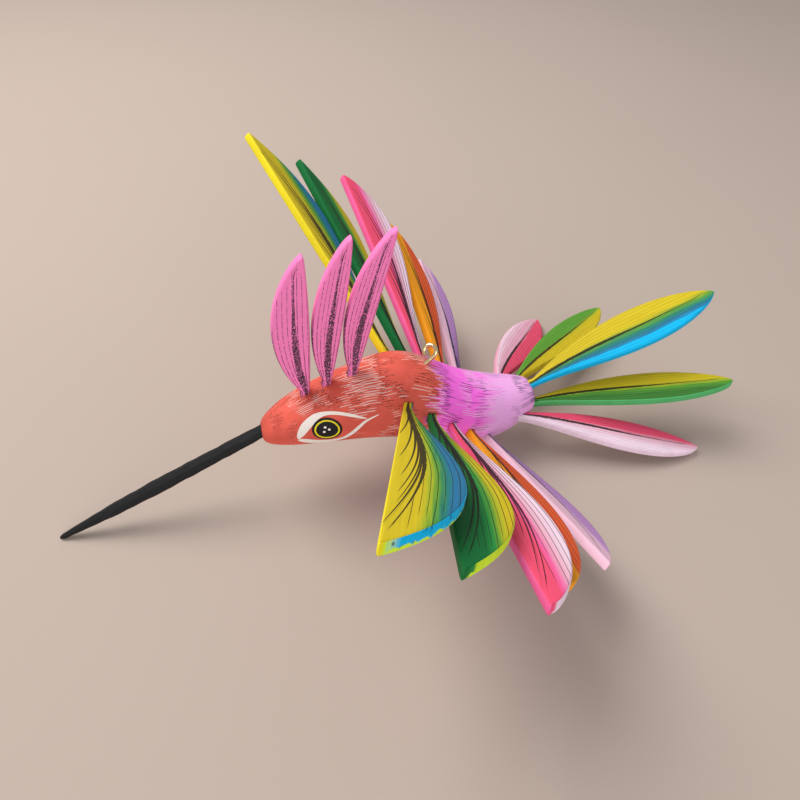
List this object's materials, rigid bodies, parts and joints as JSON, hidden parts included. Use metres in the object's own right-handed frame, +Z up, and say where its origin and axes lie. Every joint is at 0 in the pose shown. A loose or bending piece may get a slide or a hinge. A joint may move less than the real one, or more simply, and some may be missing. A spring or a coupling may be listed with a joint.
{
  "type": "alebrije figure",
  "caption": "Carved and painted wooden hummingbird with pegged wing, tail and crest feathers, a long black beak and a brass screw eye for hanging.",
  "frame": {"origin": "centre of the bounding box, on the surface that the bird rests on", "axes": "the bird faces -X, its left wing is on -Y, +Z is up; it rests on the tip of the beak and on the tips of the two lowest tail feathers"},
  "size_m": [0.2032, 0.1573, 0.083],
  "materials": {
    "coral_paint": "hand-brushed coral paint that turns to magenta and pale lilac, satin",
    "black_paint": "hand-brushed black paint, satin",
    "brass_wire": "bright drawn wire",
    "pink_paint": "hand-brushed hot pink paint with black strokes, satin",
    "yellow_paint": "hand-brushed yellow, green and blue paint with black lines, satin",
    "green_paint": "hand-brushed green and yellow paint with black lines, satin",
    "rose_paint": "hand-brushed coral and pale pink paint with black lines, satin",
    "amber_paint": "hand-brushed amber and orange-red paint with brown lines, satin",
    "lilac_paint": "hand-brushed pale pink and lilac paint with navy lines, satin"
  },
  "bodies": {
    "carving": {"body": "coral_paint", "beak": "black_paint"},
    "screw_eye": {"screw_eye": "brass_wire"},
    "crest_feather_front": {"crest_feather_front": "pink_paint"},
    "crest_feather_middle": {"crest_feather_middle": "pink_paint"},
    "crest_feather_rear": {"crest_feather_rear": "pink_paint"},
    "left_wing_feather_1": {"left_wing_feather_1": "yellow_paint"},
    "left_wing_feather_2": {"left_wing_feather_2": "green_paint"},
    "left_wing_feather_3": {"left_wing_feather_3": "rose_paint"},
    "left_wing_feather_4": {"left_wing_feather_4": "amber_paint"},
    "left_wing_feather_5": {"left_wing_feather_5": "lilac_paint"},
    "right_wing_feather_1": {"right_wing_feather_1": "yellow_paint"},
    "right_wing_feather_2": {"right_wing_feather_2": "green_paint"},
    "right_wing_feather_3": {"right_wing_feather_3": "rose_paint"},
    "right_wing_feather_4": {"right_wing_feather_4": "amber_paint"},
    "right_wing_feather_5": {"right_wing_feather_5": "lilac_paint"},
    "tail_feather_1": {"tail_feather_1": "rose_paint"},
    "tail_feather_2": {"tail_feather_2": "green_paint"},
    "tail_feather_3": {"tail_feather_3": "yellow_paint"},
    "tail_feather_4": {"tail_feather_4": "green_paint"},
    "tail_feather_5": {"tail_feather_5": "rose_paint"}
  },
  "joints": [
    {"name": "screw_eye_turn", "type": "hinge", "parent": "carving", "child": "screw_eye", "pos_m": [0.008, 0.0008, 0.0386], "axis": [0.7431, 0, 0.6691], "range_deg": [-180, 180]},
    {"name": "crest_feather_front_pull", "type": "slide", "parent": "carving", "child": "crest_feather_front", "axis": [0.097, -0.018, 0.9951], "range_m": [0, 0.008]},
    {"name": "crest_feather_middle_pull", "type": "slide", "parent": "carving", "child": "crest_feather_middle", "axis": [0.2104, -0.0175, 0.9775], "range_m": [0, 0.008]},
    {"name": "crest_feather_rear_pull", "type": "slide", "parent": "carving", "child": "crest_feather_rear", "axis": [0.2855, -0.0177, 0.9582], "range_m": [0, 0.008]},
    {"name": "left_wing_feather_1_pull", "type": "slide", "parent": "carving", "child": "left_wing_feather_1", "axis": [-0.3125, -0.7867, 0.5324], "range_m": [0, 0.008]},
    {"name": "left_wing_feather_2_pull", "type": "slide", "parent": "carving", "child": "left_wing_feather_2", "axis": [-0.2334, -0.8499, 0.4725], "range_m": [0, 0.008]},
    {"name": "left_wing_feather_3_pull", "type": "slide", "parent": "carving", "child": "left_wing_feather_3", "axis": [-0.1187, -0.9037, 0.4114], "range_m": [0, 0.008]},
    {"name": "left_wing_feather_4_pull", "type": "slide", "parent": "carving", "child": "left_wing_feather_4", "axis": [-0.0871, -0.919, 0.3844], "range_m": [0, 0.008]},
    {"name": "left_wing_feather_5_pull", "type": "slide", "parent": "carving", "child": "left_wing_feather_5", "axis": [0.1264, -0.9646, 0.2312], "range_m": [0, 0.008]},
    {"name": "right_wing_feather_1_pull", "type": "slide", "parent": "carving", "child": "right_wing_feather_1", "axis": [-0.3167, 0.7943, 0.5185], "range_m": [0, 0.008]},
    {"name": "right_wing_feather_2_pull", "type": "slide", "parent": "carving", "child": "right_wing_feather_2", "axis": [-0.2284, 0.854, 0.4675], "range_m": [0, 0.008]},
    {"name": "right_wing_feather_3_pull", "type": "slide", "parent": "carving", "child": "right_wing_feather_3", "axis": [-0.113, 0.9038, 0.4129], "range_m": [0, 0.008]},
    {"name": "right_wing_feather_4_pull", "type": "slide", "parent": "carving", "child": "right_wing_feather_4", "axis": [-0.0195, 0.9383, 0.3453], "range_m": [0, 0.008]},
    {"name": "right_wing_feather_5_pull", "type": "slide", "parent": "carving", "child": "right_wing_feather_5", "axis": [0.0501, 0.973, 0.2254], "range_m": [0, 0.008]},
    {"name": "tail_feather_1_pull", "type": "slide", "parent": "carving", "child": "tail_feather_1", "axis": [0.6455, 0.7144, -0.2702], "range_m": [0, 0.006]},
    {"name": "tail_feather_2_pull", "type": "slide", "parent": "carving", "child": "tail_feather_2", "axis": [0.834, 0.5352, -0.1346], "range_m": [0, 0.006]},
    {"name": "tail_feather_3_pull", "type": "slide", "parent": "carving", "child": "tail_feather_3", "axis": [0.93, 0.0033, 0.3675], "range_m": [0, 0.006]},
    {"name": "tail_feather_4_pull", "type": "slide", "parent": "carving", "child": "tail_feather_4", "axis": [0.9614, -0.254, 0.1061], "range_m": [0, 0.006]},
    {"name": "tail_feather_5_pull", "type": "slide", "parent": "carving", "child": "tail_feather_5", "axis": [0.9202, -0.3155, -0.2317], "range_m": [0, 0.006]}
  ]
}
